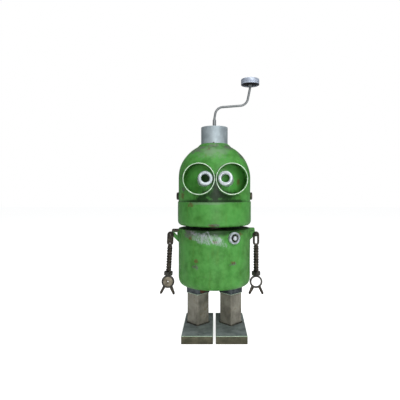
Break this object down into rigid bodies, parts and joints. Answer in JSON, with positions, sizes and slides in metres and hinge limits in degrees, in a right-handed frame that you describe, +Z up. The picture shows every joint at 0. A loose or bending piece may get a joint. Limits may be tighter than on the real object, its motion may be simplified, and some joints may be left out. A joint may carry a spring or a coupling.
{
  "type": "crank-wound robot figure",
  "caption": "Standing robot figure of reclaimed steel: domed head with goggles, crank on a pipe collar, hanging claw arms, square legs and flat feet.",
  "frame": {"origin": "on the ground, on the axis of the bottle-shaped body, midway between the two feet", "axes": "+Z up, the face looks along -Y, the figure's left hand is at +X and its right hand at -X"},
  "size_m": [0.165, 0.1275, 0.399],
  "materials": {
    "green_paint": "worn green gloss paint, chipped to steel and rust",
    "bare_steel": "bare mill-scale steel with light rust",
    "galvanised": "dull galvanised",
    "dark_steel": "oiled dark steel",
    "bright_zinc": "bright zinc",
    "brass": "satin",
    "spring_steel": "polished spring steel",
    "black_plastic": "matt black"
  },
  "bodies": {
    "torso": {"body_shell": "green_paint", "body_lid": "green_paint", "left_shoulder_bracket": "green_paint", "right_shoulder_bracket": "green_paint", "shoulder_pins": "dark_steel", "hip_blocks": "bare_steel", "left_leg": "bare_steel", "right_leg": "bare_steel", "left_foot": "bare_steel", "right_foot": "bare_steel", "chest_inner_race": "bright_zinc", "chest_rivet": "bright_zinc", "neck_bolt": "galvanised", "neck_nut": "galvanised", "neck_spacer": "dark_steel"},
    "chest_race": {"chest_outer_race": "bright_zinc", "chest_balls": "spring_steel"},
    "jaw": {"jaw_cup": "green_paint", "jaw_ears": "galvanised"},
    "dome": {"dome_shell": "green_paint", "collar_pipe": "galvanised", "collar_cap": "galvanised", "top_bush": "brass", "pivot_bolts": "dark_steel", "pivot_nuts": "dark_steel", "left_goggle": "green_paint", "right_goggle": "green_paint", "left_eye_ring": "bright_zinc", "right_eye_ring": "bright_zinc", "eye_sockets": "bright_zinc", "hanger_lugs": "galvanised", "movement_top_plate": "brass", "movement_bottom_plate": "brass", "movement_pillars": "brass", "movement_screws": "spring_steel", "comb": "spring_steel", "comb_base": "galvanised", "clutch_spring": "spring_steel"},
    "crank": {"crank_rod": "galvanised", "crank_ferrule": "galvanised", "winding_shaft": "spring_steel"},
    "knob": {"knob_cap": "galvanised", "knob_insert": "black_plastic"},
    "barrel": {"great_wheel": "brass", "barrel_drum": "brass", "mainspring": "spring_steel"},
    "cylinder": {"music_cylinder": "brass", "cylinder_arbor": "brass"},
    "governor": {"governor": "brass"},
    "left_arm": {"left_arm_rod": "dark_steel", "left_wrist_nut": "dark_steel"},
    "right_arm": {"right_arm_rod": "dark_steel", "right_wrist_nut": "dark_steel"},
    "left_hand": {"left_hand_ring": "dark_steel"},
    "right_hand": {"right_hand_ring": "dark_steel", "right_palm_disc": "dark_steel"},
    "left_outer_finger": {"left_outer_finger": "dark_steel"},
    "left_inner_finger": {"left_inner_finger": "dark_steel"},
    "right_outer_finger": {"right_outer_finger": "dark_steel"},
    "right_inner_finger": {"right_inner_finger": "dark_steel"}
  },
  "joints": [
    {"name": "head_turn", "type": "hinge", "parent": "torso", "child": "jaw", "pos_m": [0, 0, 0.165], "axis": [0, 0, 1], "range_deg": [-90, 90]},
    {"name": "dome_tip", "type": "hinge", "parent": "jaw", "child": "dome", "pos_m": [0, 0, 0.213], "axis": [-1, 0, 0], "range_deg": [0, 18]},
    {"name": "crank_turn", "type": "hinge", "parent": "dome", "child": "crank", "pos_m": [0, 0, 0.325], "axis": [0, 0, 1], "continuous": true},
    {"name": "knob_spin", "type": "hinge", "parent": "crank", "child": "knob", "pos_m": [0.057, 0, 0.393], "axis": [0, 0, 1], "continuous": true},
    {"name": "barrel_turn", "type": "hinge", "parent": "dome", "child": "barrel", "pos_m": [0, 0, 0.24], "axis": [0, 0, 1], "continuous": true},
    {"name": "cylinder_turn", "type": "hinge", "parent": "dome", "child": "cylinder", "pos_m": [0, 0.0304, 0.24], "axis": [0, 0, 1], "continuous": true},
    {"name": "governor_turn", "type": "hinge", "parent": "dome", "child": "governor", "pos_m": [-0.01133, 0.03568, 0.24], "axis": [0, 0, 1], "continuous": true},
    {"name": "chest_race_spin", "type": "hinge", "parent": "torso", "child": "chest_race", "pos_m": [0.02914, -0.05257, 0.1522], "axis": [0.4848, -0.8746, 0], "continuous": true},
    {"name": "left_shoulder", "type": "hinge", "parent": "torso", "child": "left_arm", "pos_m": [0.066, -0.0034, 0.1522], "axis": [0, -1, 0], "range_deg": [-0.5, 150]},
    {"name": "right_shoulder", "type": "hinge", "parent": "torso", "child": "right_arm", "pos_m": [-0.0696, -0.0034, 0.1522], "axis": [0, 1, 0], "range_deg": [-5.5, 136]},
    {"name": "left_wrist", "type": "hinge", "parent": "left_arm", "child": "left_hand", "pos_m": [0.066, -0.0034, 0.09], "axis": [0, 0, 1], "range_deg": [-90, 90]},
    {"name": "right_wrist", "type": "hinge", "parent": "right_arm", "child": "right_hand", "pos_m": [-0.07296, -0.0034, 0.09009], "axis": [0.0541, 0, 0.9985], "range_deg": [-90, 90]},
    {"name": "left_outer_finger_curl", "type": "hinge", "parent": "left_hand", "child": "left_outer_finger", "pos_m": [0.072, -0.0034, 0.068], "axis": [0, -1, 0], "range_deg": [-48, 45]},
    {"name": "left_inner_finger_curl", "type": "hinge", "parent": "left_hand", "child": "left_inner_finger", "pos_m": [0.06, -0.0034, 0.068], "axis": [0, 1, 0], "range_deg": [-48, 45]},
    {"name": "right_outer_finger_curl", "type": "hinge", "parent": "right_hand", "child": "right_outer_finger", "pos_m": [-0.08014, -0.0034, 0.06845], "axis": [0, 1, 0], "range_deg": [-48, 45]},
    {"name": "right_inner_finger_curl", "type": "hinge", "parent": "right_hand", "child": "right_inner_finger", "pos_m": [-0.06816, -0.0034, 0.0678], "axis": [0, -1, 0], "range_deg": [-48, 45]}
  ],
  "couplings": [
    {"joint": "cylinder_turn", "follows": "barrel_turn", "ratio": -2.8},
    {"joint": "governor_turn", "follows": "barrel_turn", "ratio": 11.2}
  ]
}
